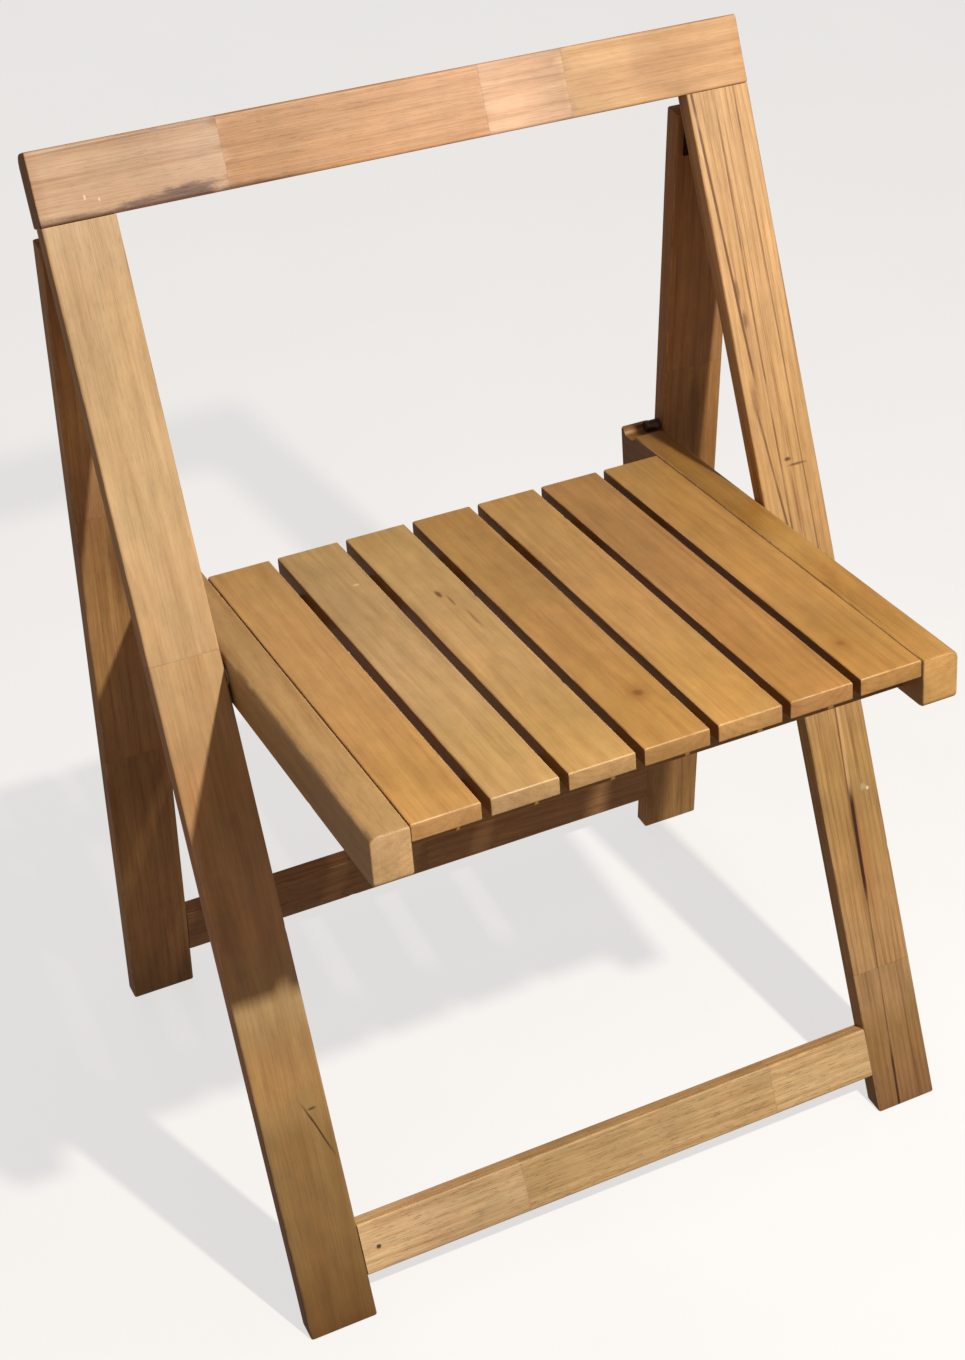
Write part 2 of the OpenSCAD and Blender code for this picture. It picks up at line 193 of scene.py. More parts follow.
def board(name, node, axes, radii, ends, seed, foot=0.0, notch=None):
    """A board in its own axes, where a CAD node is.

    radii are its four long edges, ends the roundings (low side, high side, face, back) at its
    start and finish, foot the slope of a floor cut, and notch a cut into its face."""
    low, high = local_box(node, axes)
    width, depth, length = high - low
    rand = random.Random(seed)
    dents = [
        (rand.uniform(*DENT_PLACES) * length, rand.randrange(4), rand.uniform(*DENT_SIZES))
        for _ in range(DENTS)
    ]
    steps = round(length / RING_GAP)
    places = {0.0, length} | {i * length / steps for i in range(steps)}
    for radius in {r for end in ends for r in end}:
        for k in range(END_STEPS + 1):
            step = radius * (1 - math.cos(math.pi / 2 * k / END_STEPS))
            places |= {step, length - step}
    for place, _, _ in dents:
        places |= {place + offset * MM for offset in DENT_RINGS}
    if notch:
        places |= set(notch["places"])
    places = sorted(p for p in places if 0 <= p <= length)
    places = [p for i, p in enumerate(places) if i == 0 or p - places[i - 1] > SAME_PLACE]

    mesh = bmesh.new()
    rings = []
    for place in places:
        margins = [
            max(end_margin(place, ends[0][side]), end_margin(length - place, ends[1][side]))
            for side in range(4)
        ]
        ring_radii = list(radii)
        if notch:
            cut = notch["depth"](place)
            margins[2] = max(margins[2], cut)
            if cut > 0:
                ring_radii[0] = ring_radii[1] = NOTCH_ARRIS
        for dent_place, corner, size in dents:
            near = max(0.0, 1 - ((place - dent_place) / DENT_REACH) ** 2)
            ring_radii[corner] += size * MM * near
        sample = Vector((seed * WEAR_SHIFT, place * WEAR_SCALE, 0.5))
        wear = RUBBED * (1 + noise.noise(sample))
        outline = section(
            (-width / 2 + margins[0], margins[2]),
            (width / 2 - margins[1], depth - margins[3]),
            ring_radii, wear,
        )
        ring = []
        for point, out in outline:
            sample = Vector((point.x * DIP_SCALE, point.y * DIP_SCALE + seed * DIP_SHIFT,
                             place * DIP_SCALE_ALONG))
            dip = SANDED * (0.5 + 0.5 * noise.noise(sample))
            point = point - out * dip
            along = place
            if foot:
                reach = max(0.0, 1 - place / FOOT_REACH)
                along += abs(foot) * reach * (point.y if foot > 0 else depth - point.y)
            ring.append(mesh.verts.new((point.x, point.y, along)))
        rings.append(ring)
    count = len(rings[0])
    for first, second in zip(rings, rings[1:]):
        for i in range(count):
            j = (i + 1) % count
            mesh.faces.new((first[i], first[j], second[j], second[i]))
    mesh.faces.new(list(reversed(rings[0])))
    mesh.faces.new(rings[-1])
    bmesh.ops.recalc_face_normals(mesh, faces=mesh.faces)
    piece = built(name, mesh)
    piece.data.shade_smooth()
    piece.data.set_sharp_from_angle(angle=BOARD_CREASE)
    turn = Matrix(axes).transposed()
    origin = turn @ Vector(((low.x + high.x) / 2, low.y, low.z))
    piece.matrix_world = Matrix.Translation(origin) @ turn.to_4x4()
    return piece


def settle(piece):
    """Moves a board's mesh into the row frame and keeps each point's place in the board, in mm."""
    data = piece.data
    kept = data.attributes.new("board", "FLOAT_VECTOR", "POINT")
    for vert, value in zip(data.vertices, kept.data):
        value.vector = vert.co / MM
    data.transform(piece.matrix_world)
    piece.matrix_world = Matrix.Identity(4)


# ---- Node materials ----

class Look:
    """One node material under construction."""

    def __init__(self, name):
        self.material = bpy.data.materials.new(name)
        self.material.use_nodes = True
        self.tree = self.material.node_tree
        self.tree.nodes.clear()
        self.output = self.add("ShaderNodeOutputMaterial")
        self.surface = self.add("ShaderNodeBsdfPrincipled")
        self.tree.links.new(self.surface.outputs[0], self.output.inputs[0])

    def add(self, kind, **settings):
        """A new shader node."""
        node = self.tree.nodes.new(kind)
        for key, value in settings.items():
            setattr(node, key, value)
        return node

    def put(self, socket, value):
        """Feeds a socket from another one, or sets its value."""
        if isinstance(value, bpy.types.NodeSocket):
            self.tree.links.new(value, socket)
        elif isinstance(value, (tuple, list)) and len(value) == 3 and socket.type == "RGBA":
            socket.default_value = (*value, 1)
        else:
            socket.default_value = value

    def set(self, **values):
        """Sets the shader's own sockets."""
        for key, value in values.items():
            self.put(self.surface.inputs[key.replace("_", " ")], value)

    def math(self, operation, a, b=0.0, clamp=False):
        node = self.add("ShaderNodeMath", operation=operation, use_clamp=clamp)
        self.put(node.inputs[0], a)
        self.put(node.inputs[1], b)
        return node.outputs[0]

    def plus(self, a, b):
        return self.math("ADD", a, b)

    def minus(self, a, b):
        return self.math("SUBTRACT", a, b)

    def times(self, a, b):
        return self.math("MULTIPLY", a, b)

    def around_zero(self, value, span):
        """Turns a value around 0.5 into one around zero, span times as wide."""
        return self.times(self.minus(value, 0.5), span)

    def vector(self, operation, a, b=(0, 0, 0)):
        node = self.add("ShaderNodeVectorMath", operation=operation)
        self.put(node.inputs[0], a)
        self.put(node.inputs[1], b)
        return node.outputs["Value" if operation in ("LENGTH", "DOT_PRODUCT") else "Vector"]

    def parts(self, vector):
        node = self.add("ShaderNodeSeparateXYZ")
        self.put(node.inputs[0], vector)
        return node.outputs[0], node.outputs[1], node.outputs[2]

    def join(self, x, y, z):
        node = self.add("ShaderNodeCombineXYZ")
        for socket, value in zip(node.inputs, (x, y, z)):
            self.put(socket, value)
        return node.outputs[0]

    def step(self, value, low, high, start=0.0, end=1.0):
        """Smooth step of a value, from start at low to end at high."""
        node = self.add("ShaderNodeMapRange", interpolation_type="SMOOTHSTEP")
        for key, setting in zip(range(5), (value, low, high, start, end)):
            self.put(node.inputs[key], setting)
        return node.outputs[0]

    def total(self, start, *shares):
        """A start value plus each pattern times its share."""
        for pattern, share in shares:
            start = self.plus(start, self.times(pattern, share))
        return start

    def mix(self, factor, a, b, blend="MIX"):
        """Mixes colours, which have their own sockets on a node that also mixes numbers."""
        node = self.add("ShaderNodeMix", data_type="RGBA", blend_type=blend)
        self.put(node.inputs[0], factor)
        self.put(node.inputs[6], a)
        self.put(node.inputs[7], b)
        return node.outputs[2]

    def tinted(self, colour, tint, amount=1.0):
        """A colour multiplied by a tint, as far as amount says."""
        product = self.mix(1.0, colour, tint, "MULTIPLY")
        return product if amount == 1.0 else self.mix(amount, colour, product)

    def noise(self, vector, scale, detail=2.0, roughness=0.5):
        """Noise around 0.5, at per-millimetre scales along the three axes."""
        node = self.add("ShaderNodeTexNoise")
        self.put(node.inputs["Vector"], self.vector("MULTIPLY", vector, scale))
        self.put(node.inputs["Scale"], 1.0)
        self.put(node.inputs["Detail"], detail)
        self.put(node.inputs["Roughness"], roughness)
        return node.outputs[0]

    def ramp(self, factor, stops):
        """Colour between stops of (place, colour), the places from 0 to 1."""
        node = self.add("ShaderNodeValToRGB")
        ramp = node.color_ramp
        while len(ramp.elements) > 1:
            ramp.elements.remove(ramp.elements[0])
        ramp.elements[0].position = stops[0][0]
        ramp.elements[0].color = (*stops[0][1], 1)
        for place, colour in stops[1:]:
            ramp.elements.new(place).color = (*colour, 1)
        self.put(node.inputs[0], factor)
        return node.outputs[0]

    def facing(self, axes):
        """How far the surface faces along each of a piece's axes, from 0 to 1."""
        node = self.add("ShaderNodeVectorTransform", vector_type="NORMAL",
                        convert_from="WORLD", convert_to="OBJECT")
        self.put(node.inputs[0], self.add("ShaderNodeNewGeometry").outputs["Normal"])
        along = [self.vector("DOT_PRODUCT", node.outputs[0], tuple(axis)) for axis in axes]
        return [self.math("ABSOLUTE", share) for share in along]

    def place(self):
        """Place in the row frame, in millimetres, moving with the piece."""
        return self.vector("MULTIPLY", self.add("ShaderNodeTexCoord").outputs["Object"],
                           grey(1 / MM))

    def board_place(self):
        """Place in the board's own axes, in millimetres."""
        return self.add("ShaderNodeAttribute", attribute_name="board").outputs["Vector"]

    def bump(self, height, distance):
        node = self.add("ShaderNodeBump")
        self.put(node.inputs["Height"], height)
        self.put(node.inputs["Distance"], distance)
        self.put(self.surface.inputs["Normal"], node.outputs[0])


def tone(red, green, blue):
    """Linear colour of an sRGB tone given from 0 to 255."""
    return tuple(
        c / 255 / 12.92 if c / 255 <= 0.04045 else ((c / 255 + 0.055) / 1.055) ** 2.4
        for c in (red, green, blue)
    )


def grey(value):
    return (value, value, value)


# What parts of the figure take from a tone
DUSK = (0.56, 0.42, 0.30)
DEEP = (0.40, 0.28, 0.20)
DARK = grey(0.35)
CLOUD_TINTS = ((0.25, grey(0.86)), (0.5, grey(1.0)), (0.78, (1.10, 1.08, 1.03)))
MOTTLE_TINTS = ((0.3, (0.90, 0.91, 0.90)), (0.7, (1.08, 1.07, 1.06)))
PALE_ARRIS = tone(232, 200, 158)
GRIME = tone(84, 58, 38)

# Noise scales per mm, across, into and along a board
FINE = (0.8, 0.8, 0.020)
HAIR = (2.6, 2.6, 0.045)
BROAD = (0.13, 0.13, 0.005)
CLOUD = (0.022, 0.022, 0.009)
MOTTLE = (0.085, 0.085, 0.04)
BAND = (0.26, 0.26, 0.005)
DASH = (1.9, 1.9, 0.10)
JOINT = (0.3, 0.3, 0.02)
PITH = (0.006, 0.006, 0.0024)
PITH_DEPTH = (0.006, 0.006, 0.0021)
FLAW = (0.22, 0.22, 0.08)
BREAKS = (0.05, 0.05, 0.02)
RUB = (0.05, 0.05, 0.03)

# Smooth steps from none to all of a pattern, as (low, high)
FINE_STEP = (0.38, 0.72)
HAIR_STEP = (0.4, 0.75)
BROAD_STEP = (0.35, 0.7)
BAND_STEP = (0.53, 0.70)
DASH_STEP = (0.64, 0.72)
RUB_STEP = (0.38, 0.6)
SIDE_STEP = (0.8, 0.97)
END_STEP = (0.75, 0.95)
RING_STEP = (0.35, 0.9)

# And between two amounts, as (low, high, amount at low, amount at high)
RING_END = (0.93, 1.0, 1.0, 0.0)
RING_BREAKS = (0.3, 0.65, 0.35, 1.0)
GLUE_LINE = (0.1, 0.8, 0.26, 0.0)
GLUE_BREAKS = (0.3, 0.6, 0.3, 1.0)
FACE_DEPTH = (1.5, 4.0, 1.0, 0.0)
SEAM_BREAKS = (0.3, 0.5, 0.4, 1.0)
ARRIS_STEP = (0.72, 0.97, 1.0, 0.0)

# Lengths in mm
BLEND = 1.6            # half the length over which two staves' tones meet
JOINT_STRAY = 8        # how far that meeting strays along the board
PITH_STRAY = 44.0      # how far the pith wanders across and into the board
RING_WAVE = 1.6        # how far the fine grain ruffles a growth ring
SEAM_WAVE = 1.5        # how far a seam follows the grain to the side
SEAM_FADE = 25
STAVE_SHIFT = (31.7, 17.3)
SEED_SHIFT = (91.7, 53.1, 17.9)
PITH_SHIFT = (400, 90, 700)

# Shares
FIGURE = 0.62          # how dark the whole figure may get
HAIR_SHARE = 0.45      # hair's part of the fibre
DRIFT_WAVE = 0.06      # how far a drift strays along the board, as a share of its length
SEAM_CORE = 0.4        # how much of a seam's half width is fully dark
RUBBED_PALE = 0.6

# Bump distances in metres
WOOD_BUMP = 0.00016
METAL_BUMP = 0.00004


def wood(name, length, axes, seed, staves, drift_and_shade=(), ring=(60, 70, 5.0, 0.35), fibre=0.5,
         pores=0.16, blotch=0.35, streak=0.12, side_shade=(0.86, 0.75, 0.62),
         cap=(0.62, 0.52, 0.44), worn=0.5, grimy=0.25, gloss=0.12, rough=0.46,
         marks=(), seams=()):
    """Solid wood cut into a board, with lengths and places in mm.

    staves are (start, tone) along the board, and drift is (place, factor) over them: tone that
    changes along the board, and on some boards painted light and shade as well. ring is the pith's
    place across and into the board, and the rings' spacing and strength. sides and cap are what the
    edges and the ends take from the tone; sides is painted shade on the narrow faces. Marks are
    spots on the face: (across, along, half width, half length, tone, amount, softness,
    raggedness). Seams are lines on the face: (across, slope, first, last, half width, tone,
    amount)."""
    look = Look(name)
    p = look.board_place() if axes else look.place()
    x, y, z = look.parts(p)
    share = look.math("DIVIDE", z, length)
    stave = 0.0
    for start, _ in staves[1:]:
        stave = look.plus(stave, look.math("GREATER_THAN", z, start))
    shift = look.join(*(look.times(stave, step) for step in STAVE_SHIFT), 0.0)
    q = look.vector("ADD", look.vector("ADD", p, shift), tuple(seed * v for v in SEED_SHIFT))

    stops = [(0, staves[0][1])]
    for (_, before), (start, after) in zip(staves, staves[1:]):
        stops += [((start - BLEND) / length, before), ((start + BLEND) / length, after)]
    ragged = look.around_zero(look.noise(p, JOINT, 3), JOINT_STRAY / length)
    base = look.ramp(look.plus(share, ragged), stops)
    fine = look.noise(q, FINE, 4, 0.6)
    hair = look.noise(q, HAIR, 2, 0.6)
    broad = look.noise(q, BROAD, 3, 0.5)
    cloud = look.noise(q, CLOUD, 3, 0.55)

    # Growth rings around a wandering pith, cut by the board's faces
    pith_x, pith_y, spacing, strength = ring
    stray_x = look.noise(q, PITH, 1)
    stray_y = look.noise(look.vector("ADD", q, PITH_SHIFT), PITH_DEPTH, 1)
    stray = look.join(look.times(stray_x, PITH_STRAY), look.times(stray_y, PITH_STRAY), 0.0)
    from_pith = look.vector("ADD", look.vector("ADD", p, shift), stray)
    from_pith = look.vector("ADD", from_pith,
                            (pith_x - PITH_STRAY / 2, pith_y - PITH_STRAY / 2, 0))
    from_pith = look.vector("MULTIPLY", from_pith, (1, 1, 0))
    radius = look.plus(look.vector("LENGTH", from_pith), look.times(fine, RING_WAVE))
    turn = look.math("FRACT", look.math("DIVIDE", radius, spacing))
    late = look.times(look.step(turn, *RING_STEP), look.step(turn, *RING_END))
    late = look.times(late, look.step(cloud, *RING_BREAKS))

    # Darkness of the figure, from 0 to 1
    figure = look.total(0.0, (late, strength), (look.step(fine, *FINE_STEP), fibre),
                        (look.step(hair, *HAIR_STEP), fibre * HAIR_SHARE),
                        (look.step(broad, *BROAD_STEP), blotch))
    figure = look.math("MULTIPLY", figure, FIGURE, clamp=True)
    colour = look.tinted(base, DUSK, figure)
    colour = look.tinted(colour, look.ramp(cloud, CLOUD_TINTS))
    colour = look.tinted(colour, look.ramp(look.noise(q, MOTTLE, 3, 0.6), MOTTLE_TINTS))
    band = look.step(look.noise(q, BAND, 3, 0.62), *BAND_STEP)
    colour = look.tinted(colour, DEEP, look.times(band, streak))
    # drift: tone along the board, and on some boards painted light and shade
    if drift_and_shade:
        wavy = look.plus(share, look.around_zero(broad, DRIFT_WAVE))
        colour = look.tinted(colour, look.ramp(wavy, [(s / length, c) for s, c in drift_and_shade]))

    # Pores: short dark dashes along the grain
    pore = look.step(look.noise(q, DASH, 1, 0.4), *DASH_STEP)
    colour = look.tinted(colour, DARK, look.times(pore, pores))

    # Glue lines between the staves
    for start, _ in staves[1:]:
        gap = look.math("ABSOLUTE", look.minus(z, start))
        line = look.times(look.step(gap, *GLUE_LINE), look.step(cloud, *GLUE_BREAKS))
        colour = look.tinted(colour, DARK, line)

    # Marks and seams
    face = look.step(y, *FACE_DEPTH)
    for across, along, half_x, half_z, shade, amount, soft, raggedness in marks:
        spot = look.join(look.math("DIVIDE", look.minus(x, across), half_x), 0.0,
                         look.math("DIVIDE", look.minus(z, along), half_z))
        edge = look.around_zero(look.noise(q, FLAW, 4, 0.7), raggedness)
        reach = look.plus(look.vector("LENGTH", spot), edge)
        mask = look.times(look.step(reach, 1 - soft, 1 + soft, amount, 0.0), face)
        colour = look.mix(mask, colour, shade)
    for across, slope, first, last, half, shade, amount in seams:
        middle = look.plus(look.times(z, slope), across)
        aside = look.plus(x, look.around_zero(broad, SEAM_WAVE))
        off = look.math("ABSOLUTE", look.minus(aside, middle))
        mask = look.step(off, half * SEAM_CORE, half, amount, 0.0)
        mask = look.times(mask, look.step(z, first, first + SEAM_FADE))
        mask = look.times(mask, look.step(z, last - SEAM_FADE, last, 1.0, 0.0))
        mask = look.times(mask, look.step(look.noise(q, BREAKS, 2), *SEAM_BREAKS))
        colour = look.mix(look.times(mask, face), colour, shade)

    # Arrises: pale where hands rub them, brown where dirt settles
    nx, ny, nz = look.facing(axes or UPRIGHT_FRONT)
    flat = look.math("MAXIMUM", look.math("MAXIMUM", nx, ny), nz)
    arris = look.step(flat, *ARRIS_STEP)
    rub = look.step(look.noise(q, RUB, 3, 0.6), *RUB_STEP)
    pale = look.mix(RUBBED_PALE, colour, PALE_ARRIS)
    colour = look.mix(look.times(look.times(arris, rub), worn), colour, pale)
    grime = look.times(look.times(arris, look.minus(1.0, rub)), grimy)
    colour = look.mix(grime, colour, GRIME)
    # Narrow faces darkened by sides: painted shade
    colour = look.tinted(colour, side_shade, look.step(nx, *SIDE_STEP))
    end = look.step(nz, *END_STEP)
    colour = look.tinted(colour, cap, end)

    gritty = look.total(rough, (figure, 0.12), (pore, pores), (arris, 0.22), (end, 0.2))
    look.set(Base_Color=colour, Roughness=gritty, Coat_Weight=gloss, Coat_Roughness=0.32,
             IOR=1.45)
    height = look.total(0.0, (fine, 0.7), (pore, -3 * pores), (hair, 0.35), (late, 0.35))
    look.bump(height, WOOD_BUMP)
    return look.material


# Metal's noise scales per mm, and its smooth steps
TARNISH, TARNISH_STEP = grey(0.35), (0.42, 0.68)
SPECK, SPECK_STEP = grey(1.9), (0.6, 0.72)
SCRATCH, SCRATCH_STEP = (3.2, 0.25, 0.25), (0.55, 0.75)
METAL_SHIFT = (31.0, 7.0, 3.0)
BARE = grey(1.6)       # what a scratch does to a tone
BARE_SHARE = 0.25


def metal(name, base, stain, amount, metallic, rough, seed):
    """Metal with cloudy tarnish, fine scratches and a little dirt."""
    look = Look(name)
    q = look.vector("ADD", look.place(), tuple(seed * v for v in METAL_SHIFT))
    tarnish = look.noise(q, TARNISH, 4, 0.65)
    speck = look.noise(q, SPECK, 3, 0.6)
    scratch = look.noise(q, SCRATCH, 2, 0.5)
    colour = look.mix(look.times(look.step(tarnish, *TARNISH_STEP), amount), base, stain)
    colour = look.mix(look.times(look.step(speck, *SPECK_STEP), amount), colour, stain)
    bright = look.times(look.step(scratch, *SCRATCH_STEP), BARE_SHARE)
    colour = look.tinted(colour, BARE, bright)
    gritty = look.total(rough - 0.12, (tarnish, 0.25), (speck, 0.08))
    look.set(Base_Color=colour, Metallic=metallic, Roughness=gritty)
    look.bump(look.total(speck, (scratch, 0.5)), METAL_BUMP)
    return look.material


def lit(light, *colour):
    """Linear tone of a surface that shows as an sRGB tone under that much light per channel."""
    return tuple(c / share for c, share in zip(tone(*colour), light))


# How much light the room's lamps give each group of boards
RAIL_LIGHT = (1.31, 1.28, 1.28)
FRONT_LIGHT = (1.22, 1.22, 1.22)
FOOT_LIGHT = (0.79, 0.69, 0.63)
SEAT_LIGHT = (0.95, 0.84, 0.81)
BACK_LIGHT = (0.74, 0.70, 0.66)

BORE_SIDES = 40
ARRIS = 1.5 * MM
LONG_EDGES = (ARRIS,) * 4
BUTT = (0.3 * MM,) * 4         # an end that meets another board
EXPOSED = (1.0 * MM,) * 4


def drill(piece, centre, start, end, radius):
    """Bores a round hole along X from start to end."""
    mesh = bmesh.new()
    bmesh.ops.create_cone(mesh, cap_ends=True, segments=BORE_SIDES, radius1=radius,
                          radius2=radius, depth=abs(end - start))
    cutter = built("bore", mesh)
    cutter.matrix_world = Matrix.Translation(((start + end) / 2, centre.y, centre.z)) @ \
        Matrix.Rotation(math.pi / 2, 4, "Y")
    data = carved(piece, cutter)
    data.name = piece.name
    piece.data = data
    data.set_sharp_from_angle(angle=BOARD_CREASE)


def make(node, axes, ends, slot, body, seed, look, radii=LONG_EDGES, bores=(), **shape):
    """A wooden board in place of a CAD node."""
    piece = board("wood_" + node, node, axes, radii, ends, seed, **shape)
    for bore in bores:
        drill(piece, *bore)
    settle(piece)
    length = size_of(node, axes).z / MM
    piece.data.materials.append(wood("look_" + node, length, axes, seed, **look))
    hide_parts(node)
    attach(piece, body)


# ---- Front frame ----

STAIN = tone(88, 52, 32)
CHIP = tone(244, 228, 200)
TOP_RAIL = dict(
    staves=((0, lit(RAIL_LIGHT, 219, 178, 143)), (128, lit(RAIL_LIGHT, 226, 173, 128)),
            (316, lit(RAIL_LIGHT, 240, 196, 160)), (380, lit(RAIL_LIGHT, 229, 181, 133))),
    drift_and_shade=((0, (1.04, 1.06, 1.06)), (70, (0.88, 0.85, 0.80)), (126, (0.98, 1.02, 1.10)),
           (131, (0.79, 0.72, 0.54)), (165, (0.78, 0.72, 0.55)), (215, (0.89, 0.87, 0.77)),
           (300, (1.04, 1.06, 1.10)), (340, (0.98, 0.98, 1.04)), (376, (0.76, 0.76, 0.77)),
           (384, (1.02, 1.06, 1.08)), (430, (1.03, 1.07, 1.10)), (462, (0.88, 0.86, 0.84)),
           (500, (1.0, 1.02, 1.06))),
    ring=(-6, 46, 6.5, 0.28), fibre=0.5, pores=0.08, streak=0.2, gloss=0.1, worn=0.2,
    # sides darkens the rail's top and bottom faces: painted shade
    cap=(0.5, 0.42, 0.36), side_shade=(0.76, 0.58, 0.40),
    marks=((23.5, 30, 3.2, 40, STAIN, 0.75, 0.6, 1.8), (22.0, 86, 5.0, 34, STAIN, 0.85, 0.5, 2.0),
           (19.5, 103, 5.5, 16, STAIN, 0.75, 0.5, 1.7), (24.0, 142, 3.0, 34, STAIN, 0.7, 0.6, 1.8),
           (10.5, 32.0, 1.6, 0.7, CHIP, 0.55, 0.5, 0.7),
           (13.5, 41.0, 1.3, 0.7, CHIP, 0.5, 0.5, 0.7)),
    seams=((-20.7, -0.012, -20, 150, 1.3, tone(128, 86, 58), 0.5),))
RAIL_BACK = 8 * MM
make("top_rail", LEVEL_FRONT, (EXPOSED, EXPOSED), "frame_wood", "front_frame", 1, TOP_RAIL,
     radii=(ARRIS, ARRIS, ARRIS, RAIL_BACK))

STILE_FOOT = (1.2 * MM,) * 4
CRACK = tone(62, 27, 13)
STREAK = tone(100, 58, 32)
LEFT_STILE = dict(
    staves=((0, lit(FRONT_LIGHT, 210, 170, 120)), (492, lit(FRONT_LIGHT, 216, 176, 128))),
    drift_and_shade=((0, (0.42, 0.34, 0.22)), (30, (0.48, 0.43, 0.30)), (70, (0.60, 0.57, 0.45)),
           (150, (0.68, 0.68, 0.56)), (165, (0.85, 0.87, 0.75)), (190, (1.00, 0.98, 0.84)),
           (215, (0.87, 0.87, 0.79)), (240, (0.95, 1.07, 1.10)), (300, (1.17, 1.08, 1.14)),
           (350, (1.10, 1.05, 1.08)), (400, (1.08, 0.97, 0.90)), (450, (1.10, 1.14, 1.18)),
           (600, (1.12, 1.24, 1.32)), (690, (1.05, 1.15, 1.18)), (740, (0.97, 1.03, 1.06)),
           (785, (0.98, 1.08, 1.2))),
    # sides darkens the stile's narrow faces, the outer one in shade: painted shade
    ring=(20, 60, 9.0, 0.32), fibre=0.42, pores=0.12, side_shade=(0.74, 0.56, 0.38),
    marks=((13.0, 163, 2.8, 1.0, CRACK, 0.7, 0.5, 0.8),
           (-14, 300, 7, 30, tone(92, 62, 36), 0.3, 0.6, 1.2)),
    seams=((67.2, -0.36, 116, 178, 1.0, CRACK, 0.85),))
RIGHT_STILE = dict(
    staves=((0, lit(FRONT_LIGHT, 204, 151, 97)), (113, lit(FRONT_LIGHT, 206, 152, 96)),
            (330, lit(FRONT_LIGHT, 224, 174, 118))),
    drift_and_shade=((0, (0.65, 0.68, 0.82)), (40, (0.73, 0.84, 0.90)), (65, (0.76, 0.89, 0.92)),
           (90, (0.99, 1.20, 1.50)), (140, (1.04, 1.29, 1.60)), (165, (1.05, 1.27, 1.46)),
           (190, (0.99, 1.19, 1.27)), (215, (0.96, 1.16, 1.24)), (240, (0.84, 1.03, 1.08)),
           (265, (0.96, 1.20, 1.23)), (290, (0.98, 1.18, 1.20)), (325, (1.05, 1.27, 1.40)),
           (336, (0.87, 0.95, 0.93)), (440, (0.88, 0.96, 0.94)), (520, (0.98, 1.07, 1.07)),
           (640, (1.06, 1.18, 1.33)), (760, (1.06, 1.21, 1.43))),
    ring=(46, 26, 4.2, 0.5), fibre=0.55, pores=0.12, streak=0.6,
    marks=((7.5, 508, 7.0, 0.9, tone(90, 52, 30), 0.75, 0.6, 1.1),
           (0.5, 513, 2.6, 1.5, CRACK, 0.8, 0.5, 0.8),
           (1.2, 480, 0.9, 24, STREAK, 0.6, 0.6, 0.9), (-14.7, 641, 1.8, 8, CRACK, 0.5, 0.6, 1.2),
           (-12.7, 620, 1.9, 6, CRACK, 0.5, 0.6, 1.2), (-16.5, 560, 2.4, 16, STREAK, 0.5, 0.6, 1.2),
           (12.5, 255, 2.2, 2.4, tone(196, 178, 146), 0.6, 0.6, 1.0),
           (16.0, 253, 1.2, 1.4, tone(240, 230, 206), 0.8, 0.5, 0.8),
           (4.0, 200, 4.5, 46, tone(172, 114, 66), 0.4, 0.6, 1.0),
           (-1.0, 214, 1.8, 34, CRACK, 0.45, 0.7, 1.0)),
    seams=((-6.8, 0.031, 235, 350, 1.9, tone(216, 178, 126), 0.65),
           (-8.6, 0.031, 235, 350, 0.9, STREAK, 0.7),
           (-6.8, 0.031, 160, 268, 2.0, CRACK, 1.0), (-6.8, 0.031, -20, 210, 0.9, CRACK, 0.6),
           (-6.8, 0.031, -40, 62, 1.5, CRACK, 0.8),
           (7.9, -0.0377, 560, 830, 1.5, STREAK, 0.9), (29.5, -0.084, 410, 565, 1.2, STREAK, 0.8),
           (12.2, 0.0, 380, 780, 0.9, STREAK, 0.6), (-9.0, 0.006, 440, 800, 1.0, STREAK, 0.75),
           (3.5, -0.004, 520, 810, 0.6, STREAK, 0.4)))
for label, seed, look in (("left", 2, LEFT_STILE), ("right", 3, RIGHT_STILE)):
    make(f"front_stile_{label}", UPRIGHT_FRONT, (STILE_FOOT, BUTT), "frame_wood", "front_frame",
         seed, look, foot=math.tan(FRAME_LEAN))

make("front_stretcher", LEVEL_FRONT, (BUTT, BUTT), "frame_wood", "front_frame", 4,
     dict(staves=((0, lit(FOOT_LIGHT, 202, 164, 120)), (128, lit(FOOT_LIGHT, 190, 152, 104)),
                  (335, lit(FOOT_LIGHT, 202, 162, 112))),
          drift_and_shade=((0, (1.40, 1.50, 1.65)), (50, (1.08, 1.10, 1.2)), (90, (0.96, 0.98, 1.0)),
                 (220, (1.04, 1.06, 1.12)), (420, (1.05, 1.08, 1.16))),
          ring=(14, 30, 5.5, 0.42), fibre=0.62, pores=0.32, blotch=0.5,
          marks=((1.5, 12, 1.6, 1.8, tone(52, 34, 24), 0.9, 0.35, 0.3),)))

# ---- Rear frame ----

